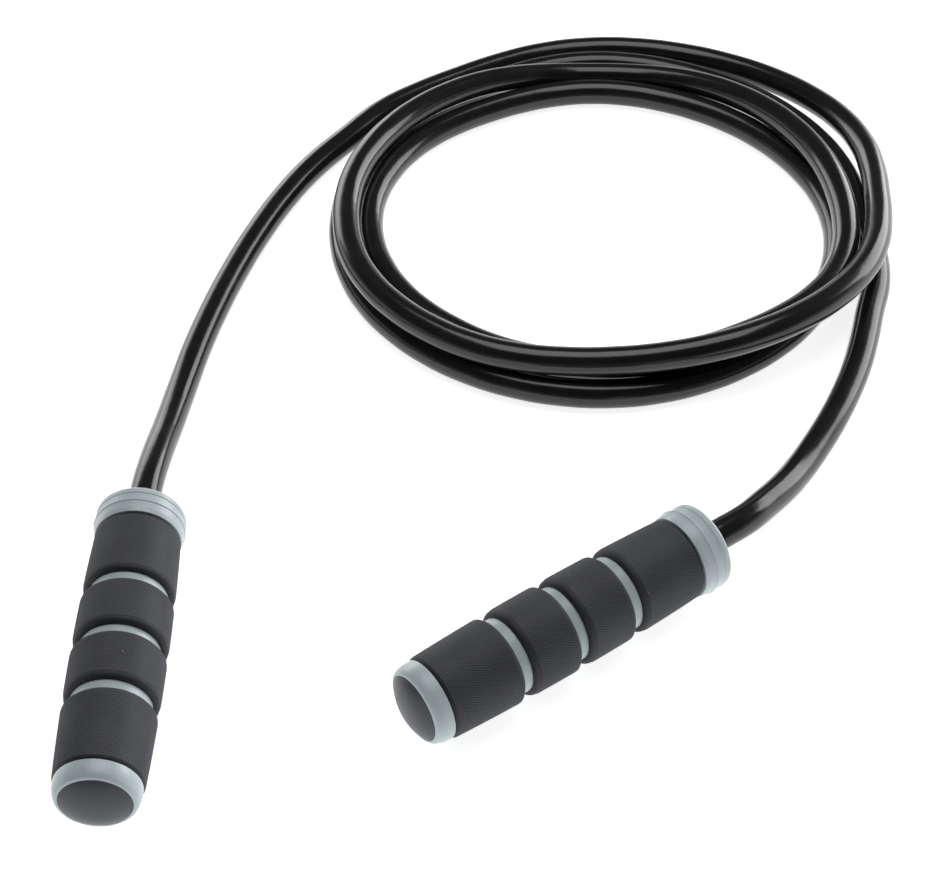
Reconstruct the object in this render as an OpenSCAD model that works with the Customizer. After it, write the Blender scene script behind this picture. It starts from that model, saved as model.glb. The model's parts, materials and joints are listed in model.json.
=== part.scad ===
// Jump rope: a thick PVC rope, laid down in three turns, between two free-spinning barrel grips.
// Everything is in millimetres, +Z is up, and z = 0 is the surface that the rope lies on.
// Both handles are drawn upright along +Z from the butt, then laid down in their places.

/* [Rope] */
// Outside diameter of the rope
rope_d = 12; // [10:0.5:12]
// Length of straight rope held inside each handle, behind the mouth of the collar
rope_inside_l = 43; // [41:1:50]

/* [Handle] */
// Overall length of a handle, from the dome of the end cap to the face of the collar
handle_l = 133; // [132:1:140]
// Largest diameter of the barrel-shaped grip
grip_d = 34; // [33:0.5:38]
// Radius of the long arc that gives the grips their barrel shape
crown_r = 1150; // [900:10:3000]
// Distance from the butt to the thickest place of the barrel
crown_s = 68; // [60:1:75]
// Diameter of the core tube that shows in the grooves
core_d = 28.6; // [28:0.2:29]
// Diameter of the long chamber inside the core
chamber_d = 19; // [18.6:0.2:20]

/* [Grips] */
// Length of the grip sleeve beside the butt
butt_grip_l = 29.5; // [28:0.5:31]
// Length of each of the two short sleeves in the middle
short_grip_l = 20.5; // [19:0.5:21]
// Width of the three grooves between the sleeves
groove_w = 4; // [3:0.5:5]
// Rounding of the edges of the sleeves
grip_edge_r = 1.8; // [1:0.1:2.5]

/* [Butt] */
// Length of the end ring and dome, from the dome to the first sleeve
butt_l = 10; // [9:0.5:11]
// Outside diameter of the end ring
ring_d = 30; // [29:0.5:31]
// Diameter of the dark dome in the end ring
dome_d = 24.6; // [22:0.2:25]
// Height of the dome
dome_h = 3.2; // [2:0.2:4]

/* [Collar] */
// Length of the flared collar at the rope's end
collar_l = 12; // [11:0.5:13]
// Diameter of the collar beside the grip
collar_root_d = 31.8; // [31:0.2:32.4]
// Diameter of the collar at its widest
collar_d = 33.2; // [32.8:0.2:34]
// Distance of the parting line from the grip
parting_l = 5.2; // [4.5:0.1:6]
// Diameter of the hole in the collar, which clears the rope
collar_hole_d = 13.2; // [12.8:0.2:14]

/* [Bearing] */
// Length of the nylon bush
bush_l = 14; // [12:1:16]
// Outside diameter of the bush, pressed into the core
bush_d = 23; // [22:0.2:23.4]
// Radial clearance of the rope in the bush
running_gap = 0.05; // [0.02:0.01:0.1]
// Diameter of the steel thrust washer
washer_d = 21.4; // [20:0.2:22]
// Thickness of the thrust washer
washer_t = 1.5; // [1:0.1:2]
// Diameter of the crimped ferrule
ferrule_d = 17; // [16:0.2:17.4]
// Length of the ferrule
ferrule_l = 12; // [10:1:13]

/* [Layout] */
// Distance of the left handle's axis to the left of the origin
left_x = 100; // [95:1:105]
// X of the right handle's butt
right_butt_x = 0.5; // [-2:0.5:3]
// Y of the right handle's butt
right_butt_y = -26; // [-28:0.5:-22]
// Angle of the right handle, clockwise from +Y
right_turn = 53.7; // [50:0.1:56]

/* [Coil] */
// X of the coil's centre
coil_x = 84; // [83:1:85]
// Y of the coil's centre
coil_y = 269; // [268:1:270]
// Outside radius of the coil
coil_outer_r = 129; // [128:0.5:130]
// Inside radius of the coil
coil_inner_r = 94; // [90:1:98]
// Height of the coil's crossed turns
coil_h = 18; // [14:1:24]
// Rounding of the coil's edges
coil_edge_r = 6; // [3:0.5:7]

/* [Hidden] */
$fn = 96;
rope_r = rope_d / 2;
grip_r = grip_d / 2;
core_r = core_d / 2;
chamber_r = chamber_d / 2;
ring_r = ring_d / 2;
dome_r = dome_d / 2;
bush_r = bush_d / 2;
axis_z = grip_r;
butt_y = -handle_l / 2;

// Stations along a handle, measured from the butt
collar_s = handle_l - collar_l;
parting_s = collar_s + parting_l;
grip_4 = [butt_l, butt_l + butt_grip_l];
grip_3 = [grip_4[1] + groove_w, grip_4[1] + groove_w + short_grip_l];
grip_2 = [grip_3[1] + groove_w, grip_3[1] + groove_w + short_grip_l];
grip_1 = [grip_2[1] + groove_w, collar_s];
bush_set_back = 1;
bush_end_s = collar_s - bush_set_back;
bush_s = bush_end_s - bush_l;
washer_gap = 0.2;
washer_s = bush_s - washer_gap - washer_t;
ferrule_s = washer_s - ferrule_l;
counterbore_gap = 1;
counterbore_s = washer_s - counterbore_gap;
rope_end_s = handle_l - rope_inside_l;

// Details of the ferrule
crimp_depth = 0.7;
crimp_band_l = 3.5;
crimp_slope_l = 1;
ferrule_chamfer = 1;

// Details of the collar
flare_h = 0.45;
flare_l = 1.6;
ridge_h = 0.35;
ridge_w = 0.7;
band_step = 0.25;
lip_r = 1.6;
lip_w = 3;
mouth_chamfer = 0.8;

// Details of the butt
ring_seat_s = 6.4;
ring_round_s = 8.6;
dome_gap = 0.15;
dome_curve = 2.4;
ring_rim_w = 0.4;
ring_rim_h = 0.2;
stem_r = 5;
stem_end_s = 13;
spigot_end_s = 18;
core_s = butt_l;

arc_steps = 6;
tube_sides = 12;

// How far a cut runs past the face that it goes through
past = 1;

grey_plastic = [0.65, 0.71, 0.71];
dark_plastic = [0.26, 0.27, 0.30];
dark_rubber = [0.23, 0.24, 0.26];
white_nylon = [0.93, 0.92, 0.88];
steel = [0.75, 0.76, 0.78];
aluminium = [0.8, 0.8, 0.8];
black_pvc = [0.11, 0.11, 0.12];

// Where the rope leaves each collar, and which way
left_mouth = [-left_x, butt_y + handle_l, axis_z];
right_way = [sin(right_turn), cos(right_turn), 0];
right_mouth = [right_butt_x, right_butt_y, axis_z] + handle_l * right_way;
right_straight_l = 9;

// The rope's route from each collar to the side of the coil
left_route = [
    left_mouth, [-left_x, 80, axis_z], [-99, 100, 14.5], [-97, 125, 9.5], [-94.5, 150, 6.5],
    [-91, 175, 6], [-86, 200, 6], [-79.5, 226, 6], [-71.5, 252, 6], [-61.5, 278, 6],
    [-50, 301, 6], [-36, 322, 6]
];
right_route = [
    right_mouth, right_mouth + right_straight_l * right_way, [125, 66.5, 16], [133, 76.5, 13.5],
    [141.5, 88, 10.5], [150, 101.5, 7.5], [158.5, 116, 6.2], [166.5, 130.5, 6],
    [174, 146, 6], [181, 163, 6], [186.5, 180, 6], [191, 196.5, 6]
];

// ---- Curves and profiles ----

function barrel_r(s) = grip_r - (s - crown_s) * (s - crown_s) / (2 * crown_r);

// Points of a quarter round in a profile of [radius, station], from angle a0 to angle a1
function quarter(centre, r, a0, a1) = [
    for (k = [0 : arc_steps])
        let (a = a0 + (a1 - a0) * k / arc_steps)
        centre + r * [cos(a), sin(a)]
];

function barrel(s0, s1) = [
    for (k = [1 : arc_steps - 1])
        let (s = s0 + (s1 - s0) * k / arc_steps)
        [barrel_r(s), s]
];

// The rope's centre line, a smooth curve through the points of a route that never sinks in the floor
function route_point(p, i) = p[max(0, min(len(p) - 1, i))];
function smooth(p, i, t) =
    let (
        a = route_point(p, i - 1), b = route_point(p, i),
        c = route_point(p, i + 1), d = route_point(p, i + 2)
    )
    0.5 * (2 * b + (c - a) * t + (2 * a - 5 * b + 4 * c - d) * t * t
        + (3 * b - a - 3 * c + d) * t * t * t);

function centre_line(p, n) = [
    for (k = [0 : n])
        let (u = k * (len(p) - 1) / n, i = min(len(p) - 2, floor(u)), q = smooth(p, i, u - i))
        [q[0], q[1], max(rope_r, q[2])]
];

function unit(v) = v / norm(v);

// ---- Shapes shared by both sides ----

module turned(points) {
    rotate_extrude()
        polygon(points);
}

module bored(r, s0, s1) {
    translate([0, 0, s0])
        cylinder(r = r, h = s1 - s0);
}

// A rope solid along a route: rings of corners joined side by side
module rope_tube(route) {
    rings = len(route);
    line = centre_line(route, rings);
    corners = [
        for (k = [0 : rings])
            let (
                along = unit(line[min(rings, k + 1)] - line[max(0, k - 1)]),
                side = unit(cross(along, [0, 0, 1])),
                up = cross(side, along)
            )
            for (j = [0 : tube_sides - 1])
                let (a = 360 * j / tube_sides)
                line[k] + rope_r * (cos(a) * side + sin(a) * up)
    ];
    walls = [
        for (k = [0 : rings - 1])
            for (j = [0 : tube_sides - 1])
                let (n = (j + 1) % tube_sides, b = k * tube_sides)
                [b + j, b + tube_sides + j, b + tube_sides + n, b + n]
    ];
    first_cap = [[for (j = [0 : tube_sides - 1]) j]];
    last_cap = [[for (j = [tube_sides - 1 : -1 : 0]) rings * tube_sides + j]];
    polyhedron(points = corners, faces = concat(walls, first_cap, last_cap));
}

module lay_left() {
    translate([-left_x, butt_y, axis_z])
        rotate([-90, 0, 0])
            children();
}

module lay_right() {
    translate([right_butt_x, right_butt_y, axis_z])
        rotate([0, 0, -right_turn])
            rotate([-90, 0, 0])
                children();
}

// ---- One handle, standing on its butt ----

// Moulded tube with the flared root of the collar; the sleeves slide on from the butt
module handle_core() {
    root_r = collar_root_d / 2;
    wide_r = collar_d / 2;
    color(grey_plastic)
        difference() {
            turned([
                [0, core_s], [core_r, core_s], [core_r, collar_s], [root_r, collar_s],
                [root_r + flare_h, collar_s + flare_l], [wide_r, parting_s - ridge_w],
                [wide_r + ridge_h, parting_s - ridge_w / 2], [wide_r, parting_s], [0, parting_s]
            ]);
            bored(chamber_r, core_s - past, counterbore_s + past);
            bored(bush_r, counterbore_s, parting_s + past);
        }
}

// Front cap of the collar: closes the bearing and guides the rope out
module collar_cap() {
    band_r = collar_d / 2 - band_step;
    lip_out = collar_d / 2;
    color(grey_plastic)
        difference() {
            turned(concat(
                [[0, bush_end_s], [bush_r, bush_end_s], [bush_r, parting_s], [band_r, parting_s],
                 [band_r, handle_l - lip_w - band_step], [lip_out, handle_l - lip_w]],
                quarter([lip_out - lip_r, handle_l - lip_r], lip_r, 0, 90),
                [[0, handle_l]]
            ));
            bored(collar_hole_d / 2, bush_end_s - past, handle_l + past);
            translate([0, 0, handle_l - mouth_chamfer])
                cylinder(r1 = collar_hole_d / 2, r2 = collar_hole_d / 2 + 2 * mouth_chamfer,
                    h = 2 * mouth_chamfer);
        }
}

// Plain bush that the rope turns in
module rope_bush() {
    color(white_nylon)
        difference() {
            bored(bush_r, bush_s, bush_end_s);
            bored(rope_r + running_gap, bush_s - past, bush_end_s + past);
        }
}

// Washer between the ferrule and the bush
module thrust_washer() {
    color(steel)
        difference() {
            bored(washer_d / 2, washer_s, washer_s + washer_t);
            bored(rope_r, washer_s - past, washer_s + washer_t + past);
        }
}

// Sleeve crimped on the rope, which stops it being pulled out
module ferrule() {
    outer = ferrule_d / 2;
    crimped = outer - crimp_depth;
    low_s = ferrule_s + crimp_band_l;
    high_s = washer_s - crimp_band_l;
    color(aluminium)
        difference() {
            turned([
                [0, ferrule_s], [outer - ferrule_chamfer, ferrule_s],
                [outer, ferrule_s + ferrule_chamfer], [outer, low_s],
                [crimped, low_s + crimp_slope_l], [crimped, high_s - crimp_slope_l],
                [outer, high_s], [outer, washer_s], [0, washer_s]
            ]);
            bored(rope_r, ferrule_s - past, washer_s + past);
        }
}

// Straight end of the rope, from inside the ferrule to the mouth of the collar
module rope_end() {
    color(black_pvc)
        bored(rope_r, rope_end_s, handle_l);
}

// Rubber sleeve with rounded edges, thicker towards the middle of the handle
module grip(span) {
    s0 = span[0];
    s1 = span[1];
    e = grip_edge_r;
    color(dark_rubber)
        difference() {
            turned(concat(
                [[0, s0]],
                quarter([barrel_r(s0 + e) - e, s0 + e], e, -90, 0),
                barrel(s0 + e, s1 - e),
                quarter([barrel_r(s1 - e) - e, s1 - e], e, 0, 90),
                [[0, s1]]
            ));
            bored(core_r, s0 - past, s1 + past);
        }
}

// Rounded ring that holds the sleeves on and seats the end cap
module end_ring() {
    rim_r = dome_r + ring_rim_w;
    rim_s = dome_h + ring_rim_h;
    color(grey_plastic)
        difference() {
            turned(concat(
                [[0, dome_h], [dome_r, dome_h]],
                [
                    for (k = [0 : arc_steps])
                        let (a = 90 * k / arc_steps)
                        [rim_r + (ring_r - rim_r) * sin(a), rim_s + (ring_round_s - rim_s) * (1 - cos(a))]
                ],
                [[ring_r, butt_l], [chamber_r, butt_l], [chamber_r, spigot_end_s],
                 [0, spigot_end_s]]
            ));
            bored(dome_r + dome_gap, dome_h - past, ring_seat_s);
            bored(stem_r, ring_seat_s - past, spigot_end_s + past);
        }
}

// Dark domed plug in the end ring
module end_cap() {
    color(dark_plastic)
        turned(concat(
            [[0, 0]],
            [
                for (k = [1 : 2 * arc_steps])
                    let (x = k / (2 * arc_steps))
                    [dome_r * x, dome_h * pow(x, dome_curve)]
            ],
            [[dome_r, ring_seat_s], [stem_r, ring_seat_s], [stem_r, stem_end_s], [0, stem_end_s]]
        ));
}

// ---- The free rope ----

module left_lead() {
    color(black_pvc)
        rope_tube(left_route);
}

module right_lead() {
    color(black_pvc)
        rope_tube(right_route);
}

// The outer shape of the three turns
module rope_coil() {
    e = coil_edge_r;
    color(black_pvc)
        translate([coil_x, coil_y, 0])
            turned(concat(
                quarter([coil_inner_r + e, e], e, 180, 270),
                quarter([coil_outer_r - e, e], e, -90, 0),
                quarter([coil_outer_r - e, coil_h - e], e, 0, 90),
                quarter([coil_inner_r + e, coil_h - e], e, 90, 180)
            ));
}

lay_left() handle_core();  // left_handle_core
lay_left() collar_cap();  // left_collar_cap
lay_left() rope_bush();  // left_rope_bush
lay_left() thrust_washer();  // left_thrust_washer
lay_left() ferrule();  // left_ferrule
lay_left() rope_end();  // left_rope_end
lay_left() grip(grip_1);  // left_grip_1
lay_left() grip(grip_2);  // left_grip_2
lay_left() grip(grip_3);  // left_grip_3
lay_left() grip(grip_4);  // left_grip_4
lay_left() end_ring();  // left_end_ring
lay_left() end_cap();  // left_end_cap
lay_right() handle_core();  // right_handle_core
lay_right() collar_cap();  // right_collar_cap
lay_right() rope_bush();  // right_rope_bush
lay_right() thrust_washer();  // right_thrust_washer
lay_right() ferrule();  // right_ferrule
lay_right() rope_end();  // right_rope_end
lay_right() grip(grip_1);  // right_grip_1
lay_right() grip(grip_2);  // right_grip_2
lay_right() grip(grip_3);  // right_grip_3
lay_right() grip(grip_4);  // right_grip_4
lay_right() end_ring();  // right_end_ring
lay_right() end_cap();  // right_end_cap
left_lead();
rope_coil();
right_lead();
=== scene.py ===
import json
from math import cos, pi, radians, sin, sqrt, tau

import bpy
import numpy as np
from mathutils import Matrix, Vector


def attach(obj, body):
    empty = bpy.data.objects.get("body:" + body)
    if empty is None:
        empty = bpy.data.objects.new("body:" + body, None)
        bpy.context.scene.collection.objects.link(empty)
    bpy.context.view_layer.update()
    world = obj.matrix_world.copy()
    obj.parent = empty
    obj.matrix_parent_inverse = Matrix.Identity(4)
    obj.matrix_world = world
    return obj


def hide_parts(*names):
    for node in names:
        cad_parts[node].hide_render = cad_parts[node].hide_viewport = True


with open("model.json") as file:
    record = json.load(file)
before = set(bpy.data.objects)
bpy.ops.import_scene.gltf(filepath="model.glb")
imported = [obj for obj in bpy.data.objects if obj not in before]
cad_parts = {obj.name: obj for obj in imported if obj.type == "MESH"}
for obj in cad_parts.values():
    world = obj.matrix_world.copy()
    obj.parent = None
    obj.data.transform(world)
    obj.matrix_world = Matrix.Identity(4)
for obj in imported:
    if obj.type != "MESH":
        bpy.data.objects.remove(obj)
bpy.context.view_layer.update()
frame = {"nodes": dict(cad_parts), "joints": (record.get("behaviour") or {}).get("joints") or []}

MM = 0.001
NODES = frame["nodes"]

# ---- Camera ----

CAMERA_AT = (22.4 * MM, -458.4 * MM, 560.4 * MM)
CAMERA_DOWN = 43.7  # degrees below the horizon, looking along +Y
SENSOR_WIDTH = 36   # in millimetres, as the lens
LENS = 77.53


def make_camera():
    data = bpy.data.cameras.new("camera")
    data.sensor_width = SENSOR_WIDTH
    data.lens = LENS
    camera = bpy.data.objects.new("camera", data)
    camera.location = CAMERA_AT
    camera.rotation_euler = (radians(90 - CAMERA_DOWN), 0, 0)
    bpy.context.scene.collection.objects.link(camera)
    bpy.context.scene.camera = camera


# ---- Small helpers for meshes and shader nodes ----

def new_object(name, data):
    obj = bpy.data.objects.new(name, data)
    bpy.context.scene.collection.objects.link(obj)
    return obj


def mesh_object(name, points, faces, material):
    mesh = bpy.data.meshes.new(name)
    mesh.from_pydata([tuple(p) for p in points], [], faces)
    mesh.shade_smooth()
    mesh.materials.append(material)
    return new_object(name, mesh)


class Shader:
    """A new material with a Principled surface, and short calls that add nodes to it."""

    def __init__(self, name):
        self.material = bpy.data.materials.new(name)
        self.material.use_nodes = True
        self.tree = self.material.node_tree
        self.surface = self.tree.nodes["Principled BSDF"]

    def add(self, kind, **inputs):
        made = self.tree.nodes.new("ShaderNode" + kind)
        for key, value in inputs.items():
            self.plug(made.inputs[key.replace("_", " ")], value)
        return made

    def plug(self, socket, value):
        if isinstance(value, bpy.types.NodeSocket):
            self.tree.links.new(value, socket)
        else:
            socket.default_value = value

    def set(self, **inputs):
        for key, value in inputs.items():
            self.plug(self.surface.inputs[key.replace("_", " ")], value)

    def noise(self, scale, detail):
        place = self.add("TexCoord").outputs["Object"]
        return self.add("TexNoise", Vector=place, Scale=scale, Detail=detail).outputs["Fac"]

    def ramp(self, value, low, high, a, b):
        """value taken from low..high to the colours a..b."""
        made = self.add("ValToRGB", Fac=value)
        first, last = made.color_ramp.elements
        first.position, first.color = low, (*a, 1)
        last.position, last.color = high, (*b, 1)
        return made.outputs["Color"]

    def span(self, value, low, high, a, b):
        """value taken from low..high to the numbers a..b."""
        made = self.add("MapRange", Value=value)
        for key, number in (("From Min", low), ("From Max", high), ("To Min", a), ("To Max", b)):
            made.inputs[key].default_value = number
        return made.outputs["Result"]

    def blend(self, value, a, b):
        """The colour a where value is 0, and b where it is 1."""
        made = self.add("Mix")
        made.data_type = "RGBA"
        factor, from_colour, to_colour = made.inputs[0], made.inputs[6], made.inputs[7]
        self.plug(factor, value)
        self.plug(from_colour, a)
        self.plug(to_colour, b)
        return made.outputs[2]

    def bump(self, height, distance, strength, under=None):
        """A normal for bumps of the given depth in metres, over the normal of coarser ones."""
        made = self.add("Bump", Height=height, Distance=distance, Strength=strength)
        if under is not None:
            self.plug(made.inputs["Normal"], under)
        return made.outputs["Normal"]


# ---- Materials ----

DUST = (0.25, 0.25, 0.24, 1)


def rope_pvc():
    """Glossy black PVC: long faint waves, and fine specks that spread the highlights a little."""
    m = Shader("rope_pvc")
    waves = m.noise(90, 2)
    specks = m.noise(1400, 3)
    m.set(
        Base_Color=m.ramp(waves, 0.35, 0.7, (0.009, 0.009, 0.010), (0.014, 0.014, 0.0155)),
        Roughness=m.span(specks, 0.3, 0.7, 0.15, 0.22),
        Normal=m.bump(specks, 0.00003, 0.3, m.bump(waves, 0.0004, 0.25)),
    )
    m.set(IOR=1.52)
    return m.material


def grip_rubber():
    """Black rubber with a painted highlight on the tips of its knurl, painted shade in its
    valleys, and a few specks of dust.
    """
    m = Shader("grip_rubber")
    cloud = m.noise(70, 4)
    grain = m.noise(2600, 2)
    dust = m.noise(620, 1)
    tip = m.add("Attribute")
    tip.attribute_name = "tip"
    # Painted shade in the knurl's valleys and a painted highlight on its tips, blended by the tip
    # attribute
    painted_valley_shade = m.ramp(cloud, 0.3, 0.7, (0.015, 0.016, 0.020), (0.021, 0.023, 0.029))
    painted_tip_highlight = m.ramp(cloud, 0.3, 0.7, (0.083, 0.090, 0.111), (0.110, 0.119, 0.145))
    knurled = m.blend(tip.outputs["Fac"], painted_valley_shade, painted_tip_highlight)
    m.set(
        Base_Color=m.blend(m.span(dust, 0.80, 0.84, 0.0, 0.6), knurled, DUST),
        Roughness=m.span(grain, 0.3, 0.7, 0.55, 0.75),
        Normal=m.bump(grain, 0.00004, 0.5),
    )
    m.set(IOR=1.5)
    return m.material


def moulded_plastic(name, dark, light, rough):
    """Satin moulded plastic: faint clouding, a fine spark-eroded grain and a soft sheen."""
    m = Shader(name)
    cloud = m.noise(55, 3)
    grain = m.noise(3200, 2)
    m.set(
        Base_Color=m.ramp(cloud, 0.3, 0.7, dark, light),
        Roughness=m.span(grain, 0.3, 0.7, rough - 0.06, rough + 0.06),
        Normal=m.bump(grain, 0.00002, 0.35),
    )
    m.set(IOR=1.49)
    return m.material


def metal(name, colour, rough):
    """Bare metal with a fine grain that varies its colour and sheen."""
    m = Shader(name)
    brushed = m.noise(900, 3)
    m.set(
        Base_Color=m.ramp(brushed, 0.3, 0.7, [c * 0.85 for c in colour], colour),
        Roughness=m.span(brushed, 0.3, 0.7, rough - 0.08, rough + 0.08),
        Normal=m.bump(brushed, 0.00002, 0.3),
    )
    m.set(Metallic=1.0)
    return m.material


# Which material a CAD node has, by the part in its name
LOOKS = {
    "handle_core": "handle_plastic", "collar_cap": "handle_plastic", "end_ring": "handle_plastic",
    "end_cap": "cap_plastic", "rope_bush": "bush_nylon", "thrust_washer": "washer_steel",
    "ferrule": "ferrule_metal", "rope_end": "rope_pvc", "grip": "grip_rubber",
    "lead": "rope_pvc", "coil": "rope_pvc",
}


def make_materials():
    return {
        "rope_pvc": rope_pvc(),
        "grip_rubber": grip_rubber(),
        "handle_plastic": moulded_plastic(
            "handle_plastic", (0.49, 0.58, 0.60), (0.54, 0.63, 0.65), 0.30),
        "cap_plastic": moulded_plastic(
            "cap_plastic", (0.034, 0.038, 0.053), (0.043, 0.048, 0.064), 0.40),
        "bush_nylon": moulded_plastic(
            "bush_nylon", (0.80, 0.79, 0.74), (0.86, 0.85, 0.80), 0.45),
        "washer_steel": metal("washer_steel", (0.60, 0.61, 0.63), 0.25),
        "ferrule_metal": metal("ferrule_metal", (0.75, 0.75, 0.77), 0.35),
    }


# ---- The rope, in millimetres ----

ROPE_D = 12
LYING_Z = ROPE_D / 2    # height of its middle where it lies on the floor

# The route from each collar to the side of the coil, as in the CAD model
HANDLE_LENGTH = 133
AXIS_Z = 17
RIGHT_TURN = radians(53.7)
RIGHT_WAY = Vector((sin(RIGHT_TURN), cos(RIGHT_TURN), 0))
RIGHT_BUTT = Vector((0.5, -26, AXIS_Z))
RIGHT_STRAIGHT = 9
LEFT_MOUTH = Vector((-100, HANDLE_LENGTH / 2, AXIS_Z))
RIGHT_MOUTH = RIGHT_BUTT + HANDLE_LENGTH * RIGHT_WAY
LEFT_ROUTE = [
    LEFT_MOUTH, (-100, 80, AXIS_Z), (-99, 100, 14.5), (-97, 125, 9.5), (-94.5, 150, 6.5),
    (-91, 175, 6), (-86, 200, 6), (-79.5, 226, 6), (-71.5, 252, 6), (-61.5, 278, 6),
    (-50, 301, 6), (-36, 322, 6),
]
RIGHT_ROUTE = [
    RIGHT_MOUTH, RIGHT_MOUTH + RIGHT_STRAIGHT * RIGHT_WAY, (125, 66.5, 16), (133, 76.5, 13.5),
    (141.5, 88, 10.5), (150, 101.5, 7.5), (158.5, 116, 6.2), (166.5, 130.5, 6),
    (174, 146, 6), (181, 163, 6), (186.5, 180, 6), (191, 196.5, 6),
]

# The coil winds clockwise from the left lead to the right one. A station every 30 degrees
# says how far the rope is from the middle of the coil and how high. The first is at 150.
COIL_MIDDLE = (80, 262)
COIL_FIRST = 150
COIL_STATION = 30
COIL_TURNS = [
    # in from the left lead and over the crossing at the right, on top at the front and left
    (130.5, 6), (127.5, 6), (136.2, 6), (138.8, 7), (134.3, 12), (122, 18.5),
    (121.8, 25.3), (118.7, 27), (111.2, 19.6), (115, 17.4), (116.3, 17.7), (111.8, 17.6),
    # down to the floor in the middle at the top, on top at the right, then down to the inside
    (108.3, 16.4), (107.3, 14.2), (112.2, 6.5), (110, 11.5), (104.2, 17.7), (105.3, 18),
    (111, 17.8), (109.5, 17.8), (104.5, 10), (101.3, 6), (102.5, 6), (103, 6),
    # innermost round the top and the right, then under the others to the outside
    (101, 6), (98, 6), (100.2, 6), (99.8, 6), (101, 6), (104.2, 6),
    (106.5, 6), (110.3, 6), (114.3, 6), (115.8, 6), (115.6, 6), (113.8, 6),
    # second from the outside at the top, and out under the crossing
    (113.5, 6), (115.7, 6), (124.2, 6), (122.8, 6.3), (120, 6), (117.5, 6), (128, 6),
]
COIL_FROM = 140         # degrees, of the coil's first point and its last one
COIL_TO = -1100
COIL_STEP = 10
NEAR_ALONG = 8          # points that are this close along the rope don't push each other
HELD_ENDS = 3           # points at each end that settle less, so that they meet the leads
SETTLE_ROUNDS = 300
SETTLE_PUSH = 0.25


def between(stations, at):
    """A smooth curve through the stations, at a fractional station number."""
    i = min(int(at), len(stations) - 2)
    t = at - i
    a, b, c, d = (
        np.array(stations[min(max(k, 0), len(stations) - 1)], float)
        for k in (i - 1, i, i + 1, i + 2)
    )
    return 0.5 * (
        2 * b + (c - a) * t + (2 * a - 5 * b + 4 * c - d) * t * t
        + (3 * b - a - 3 * c + d) * t ** 3
    )


def coil_points():
    """The turns before they settle."""
    points = []
    for angle in range(COIL_FROM, COIL_TO - 1, -COIL_STEP):
        radius, height = between(COIL_TURNS, (COIL_FIRST - angle) / COIL_STATION)
        around = radians(angle)
        points.append((
            COIL_MIDDLE[0] + radius * cos(around),
            COIL_MIDDLE[1] + radius * sin(around),
            max(height, LYING_Z),
        ))
    return points


def settle(points):
    """Pushes turns that lie in each other apart, and spreads each push smoothly along the rope."""
    start = np.array(points, float)
    moved = np.zeros_like(start)
    step = np.arange(len(start))
    far_along = np.abs(step[:, None] - step[None]) > NEAR_ALONG
    free = np.minimum(1, np.minimum(step, step[::-1]) / HELD_ENDS)[:, None]
    for _ in range(SETTLE_ROUNDS):
        now = start + moved
        apart = now[:, None] - now[None]
        gap = np.linalg.norm(apart, axis=2)
        np.fill_diagonal(gap, ROPE_D)
        deep = np.where(far_along, np.maximum(0, ROPE_D - gap), 0)
        moved += SETTLE_PUSH * (apart * (deep / gap)[:, :, None]).sum(axis=1)
        smooth = moved.copy()
        smooth[1:-1] = (moved[:-2] + 2 * moved[1:-1] + moved[2:]) / 4
        moved = smooth * free
        moved[:, 2] = np.maximum(moved[:, 2], LYING_Z - start[:, 2])
    return start + moved


def make_rope(material):
    """One curve from collar to collar, in place of the three plain CAD solids of the rope."""
    route = [*LEFT_ROUTE, *settle(coil_points()), *reversed(RIGHT_ROUTE)]
    curve = bpy.data.curves.new("rope", "CURVE")
    curve.dimensions = "3D"
    curve.bevel_depth = ROPE_D * MM / 2
    curve.bevel_resolution = 6
    curve.resolution_u = 6
    curve.use_fill_caps = True
    spline = curve.splines.new("BEZIER")
    spline.bezier_points.add(len(route) - 1)
    for point, place in zip(spline.bezier_points, route):
        point.co = Vector(place) * MM
        point.handle_left_type = point.handle_right_type = "AUTO"
    curve.materials.append(material)
    rope = new_object("rope", curve)
    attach(rope, "rope")
    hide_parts("left_lead", "rope_coil", "right_lead")


# ---- Grips ----

BARREL_R = 16.7 * MM    # at the foot of the knurl, whose tips reach the 17 mm of the CAD
CROWN_R = 1150 * MM     # of the barrel's lengthwise curve
CROWN_AT = 68 * MM      # thickest place of the barrel, from the butt
CORE_R = 14.3 * MM      # inside of a sleeve
EDGE_R = 1.8 * MM
EDGE_STEPS = 6          # rings of a rounded edge
KNURL_PITCH = 1.0 * MM
KNURL_H = 0.3 * MM
SHOULDER = 2.0 * MM     # smooth band at the butt end of a sleeve
BUTT_EDGE = 1.0 * MM    # the same on the last sleeve, which runs down to the ring
COLLAR_EDGE = 0.5 * MM  # smooth rim at the collar end of a sleeve

# Where each sleeve starts and ends, in millimetres from the butt, as in the CAD model
GRIPS = {1: (92.5, 121), 2: (68, 88.5), 3: (43.5, 64), 4: (10, 39.5)}
LAST_GRIP = 4


def barrel(s):
    """Radius of the barrel at station s, measured from the butt along the handle."""
    return BARREL_R - (s - CROWN_AT) ** 2 / (2 * CROWN_R)


def handle_place(side):
    """Matrix that lays something drawn along +Z from the butt in the handle's place."""
    joint = next(j for j in frame["joints"] if j["name"] == f"{side}_handle_spin")
    way = Vector(joint["axis"]).normalized()
    at = Vector(joint["pos_m"])
    cap = NODES[f"{side}_end_cap"].data.vertices
    butt = at + way * min((v.co - at).dot(way) for v in cap)
    down = Vector((0, 0, -1))
    turned = Matrix((down.cross(way), down, way)).transposed()
    return Matrix.Translation(butt) @ turned.to_4x4()


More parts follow.
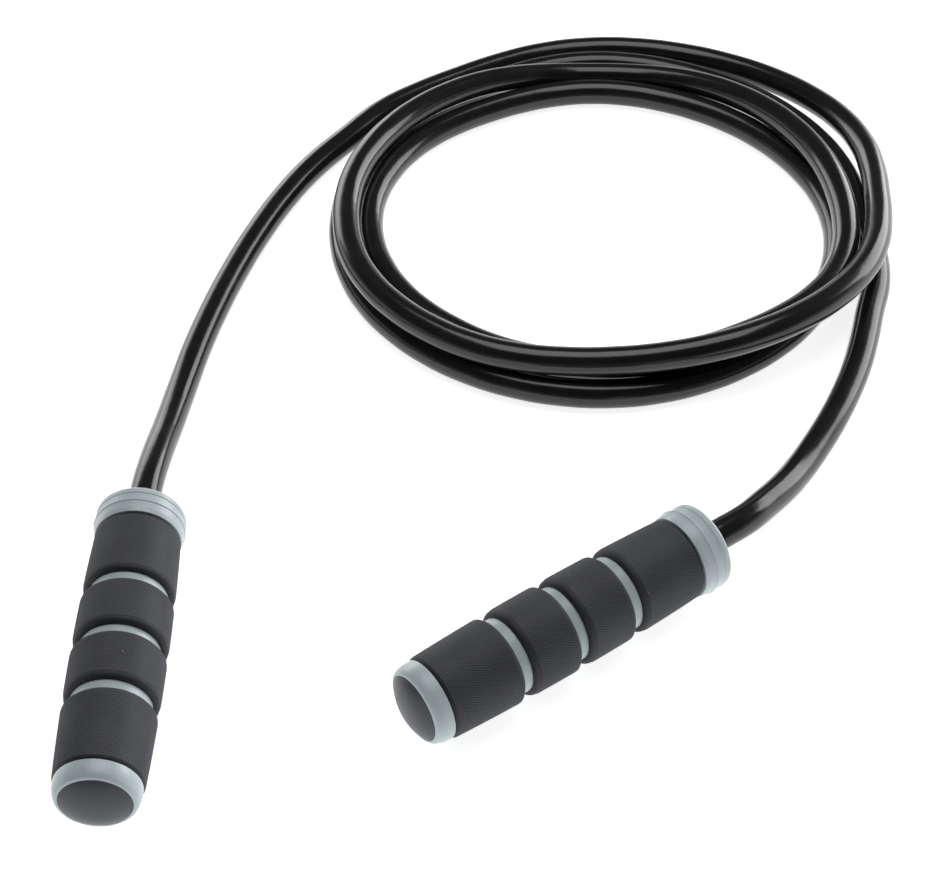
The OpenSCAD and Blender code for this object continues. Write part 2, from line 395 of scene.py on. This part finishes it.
class Skin:
    """A mesh in the making: rings of points round the Z axis, and the faces between them."""

    def __init__(self, around):
        self.around = around
        self.points = []
        self.faces = []
        self.tips = []

    def point(self, turn, radius, height, tip=0):
        """turn counts points of a ring; tip says how much painted highlight the rubber gets there,
        0 to 1, with painted shade at 0.
        """
        a = tau * turn / self.around
        self.points.append((radius * cos(a), radius * sin(a), height))
        self.tips.append(tip)
        return len(self.points) - 1

    def ring(self, radius, height):
        return [self.point(k, radius, height) for k in range(self.around)]

    def join(self, low, high):
        """Faces between two rings."""
        for k in range(self.around):
            n = (k + 1) % self.around
            self.faces.append((low[k], low[n], high[n], high[k]))


def grip_radius(s, s0, s1):
    """Radius of a sleeve at station s: the barrel, rounded off at both edges."""
    inside = min(s - s0, s1 - s, EDGE_R)
    drop = EDGE_R - sqrt(max(0, EDGE_R ** 2 - (EDGE_R - inside) ** 2))
    return barrel(min(max(s, s0 + EDGE_R), s1 - EDGE_R)) - drop


def knurl(skin, dots, s0, s1, radius):
    """Staggered rows of six-sided dots from s0 to s1. Returns the two zigzag rims.

    Between two rows lie two rings of points, at a third and two thirds of the way: the corners
    of the dots above and below. Each dot is a low pyramid on six of them.
    """
    rows = round((s1 - s0) / (KNURL_PITCH * sqrt(3) / 2)) - 1
    step = (s1 - s0) / (rows + 1)
    bands = []
    for row in range(rows + 1):
        shift = row % 2
        low, high = s0 + (row + 1 / 3) * step, s0 + (row + 2 / 3) * step
        bands.append((
            [skin.point(2 * k + 1 + shift, radius(low), low) for k in range(dots)],
            [skin.point(2 * k + shift, radius(high), high) for k in range(dots)],
        ))
    for row in range(1, rows + 1):
        shift = row % 2
        s = s0 + row * step
        for k in range(dots):
            # The top point of each dot gets the full painted highlight
            top = skin.point(2 * k + shift, radius(s) + KNURL_H, s, tip=1)
            j = k - 1 + shift
            below, above = bands[row - 1], bands[row]
            rim = [
                above[0][k], above[1][k], above[0][k - 1],
                below[1][j], below[0][j], below[1][(j + 1) % dots],
            ]
            skin.faces += [(top, rim[c], rim[(c + 1) % 6]) for c in range(6)]
    first = [v for k in range(dots) for v in (bands[0][1][k], bands[0][0][k])]
    lower, upper = bands[rows]
    if rows % 2:
        last = [v for k in range(dots) for v in (lower[k - 1], upper[k])]
    else:
        last = [v for k in range(dots) for v in (upper[k], lower[k])]
    return first, last


def grip_skin(s0, s1, shoulder):
    """A sleeve from s0 to s1, knurled outside except near its edges."""
    dots = round(tau * BARREL_R / KNURL_PITCH)
    skin = Skin(2 * dots)

    def radius(s):
        return grip_radius(s, s0, s1)

    knurl_from = s0 + shoulder
    knurl_to = s1 - COLLAR_EDGE
    first, last = knurl(skin, dots, knurl_from, knurl_to, radius)
    edge = [EDGE_R * (1 - cos(pi / 2 * k / EDGE_STEPS)) for k in range(EDGE_STEPS + 1)]
    low = [s0 + e for e in edge if s0 + e < knurl_from] + [knurl_from]
    high = [knurl_to] + [s1 - e for e in reversed(edge) if s1 - e > knurl_to]
    rings = [skin.ring(CORE_R, s0)] + [skin.ring(radius(s), s) for s in low] + [first]
    rims = [last] + [skin.ring(radius(s), s) for s in high] + [skin.ring(CORE_R, s1)]
    for chain in (rings, rims, [rims[-1], rings[0]]):
        for a, b in zip(chain, chain[1:]):
            skin.join(a, b)
    return skin


def make_grip(side, number, place, material):
    s0, s1 = (s * MM for s in GRIPS[number])
    skin = grip_skin(s0, s1, BUTT_EDGE if number == LAST_GRIP else SHOULDER)
    points = [place @ Vector(p) for p in skin.points]
    grip = mesh_object(f"{side}_knurled_grip_{number}", points, skin.faces, material)
    # The tip attribute marks the painted highlight on the knurl's tips, against painted shade in
    # its valleys
    grip.data.attributes.new("tip", "FLOAT", "POINT").data.foreach_set("value", skin.tips)
    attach(grip, f"{side}_handle")
    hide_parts(f"{side}_grip_{number}")


def finish_nodes(materials):
    """Gives each CAD node the material of the part in its name."""
    for name, node in NODES.items():
        look = next(look for part, look in LOOKS.items() if part in name)
        for slot in node.material_slots:
            slot.material = materials[look]


# ---- Studio ----

MIDDLE = (0.05, 0.15, 0)  # what the light panels face
FLOOR_SIDE = 24           # metres
FLOOR_GLOW = 0.85

# Radiance of the room near the horizon and overhead, and the heights where the one ends and
# the other begins, as the Z of a direction
ROOM_LOW = 1.0
ROOM_LOW_TO = 0.08
ROOM_HIGH = 0.06
ROOM_HIGH_FROM = 0.30
# The share of it that is left in front, and where it starts to dim, as the Y of a direction
ROOM_FRONT = 0.35
ROOM_FRONT_AT = -0.7
ROOM_DIMS_AT = 0.1


def soft_box(name, at, width, height, radiance):
    """A light panel that faces the middle of the scene with the given radiance."""
    light = bpy.data.lights.new(name, "AREA")
    light.shape = "RECTANGLE"
    light.size = width
    light.size_y = height
    light.energy = radiance * pi * width * height
    lamp = new_object(name, light)
    lamp.location = at
    lamp.visible_camera = False
    lamp.rotation_euler = (Vector(at) - Vector(MIDDLE)).to_track_quat("Z", "Y").to_euler()


def make_floor():
    m = Shader("floor")
    m.set(
        Base_Color=m.ramp(m.noise(3, 2), 0.3, 0.7, (0.80, 0.80, 0.80), (0.84, 0.84, 0.84)),
        Roughness=0.9, Emission_Color=(1, 1, 1, 1), Emission_Strength=FLOOR_GLOW,
    )
    far = FLOOR_SIDE / 2
    corners = [(-far, -far, 0), (far, -far, 0), (far, far, 0), (-far, far, 0)]
    mesh_object("floor", corners, [(0, 1, 2, 3)], m.material)


def make_world():
    """A pale room: bright near the horizon, dimmer in front, and dark between the light panels."""
    world = bpy.data.worlds.new("studio")
    world.use_nodes = True
    tree = world.node_tree
    place = tree.nodes.new("ShaderNodeTexCoord")
    split = tree.nodes.new("ShaderNodeSeparateXYZ")
    ramp = tree.nodes.new("ShaderNodeValToRGB")
    tree.links.new(place.outputs["Generated"], split.inputs["Vector"])
    tree.links.new(split.outputs["Z"], ramp.inputs["Fac"])
    low, high = ramp.color_ramp.elements
    low.position, low.color = ROOM_LOW_TO, (*[ROOM_LOW] * 3, 1)
    high.position, high.color = ROOM_HIGH_FROM, (*[ROOM_HIGH] * 3, 1)
    tree.links.new(ramp.outputs["Color"], tree.nodes["Background"].inputs["Color"])
    front = tree.nodes.new("ShaderNodeMapRange")
    front.inputs["From Min"].default_value = ROOM_FRONT_AT
    front.inputs["From Max"].default_value = ROOM_DIMS_AT
    front.inputs["To Min"].default_value = ROOM_FRONT
    front.inputs["To Max"].default_value = 1
    tree.links.new(split.outputs["Y"], front.inputs["Value"])
    tree.links.new(front.outputs["Result"], tree.nodes["Background"].inputs["Strength"])
    bpy.context.scene.world = world


def make_studio():
    make_floor()
    make_world()
    soft_box("overhead", (0.05, 0.34, 1.3), 1.0, 1.0, 2.7)
    soft_box("back_left", (-0.81, 1.49, 0.35), 1.1, 0.6, 2.6)
    soft_box("back_right", (1.25, 1.10, 0.45), 1.2, 0.85, 4.2)


make_camera()
materials = make_materials()
make_rope(materials["rope_pvc"])
for side in ("left", "right"):
    place = handle_place(side)
    for number in GRIPS:
        make_grip(side, number, place, materials["grip_rubber"])
finish_nodes(materials)
make_studio()
bpy.context.scene.view_settings.view_transform = "Standard"
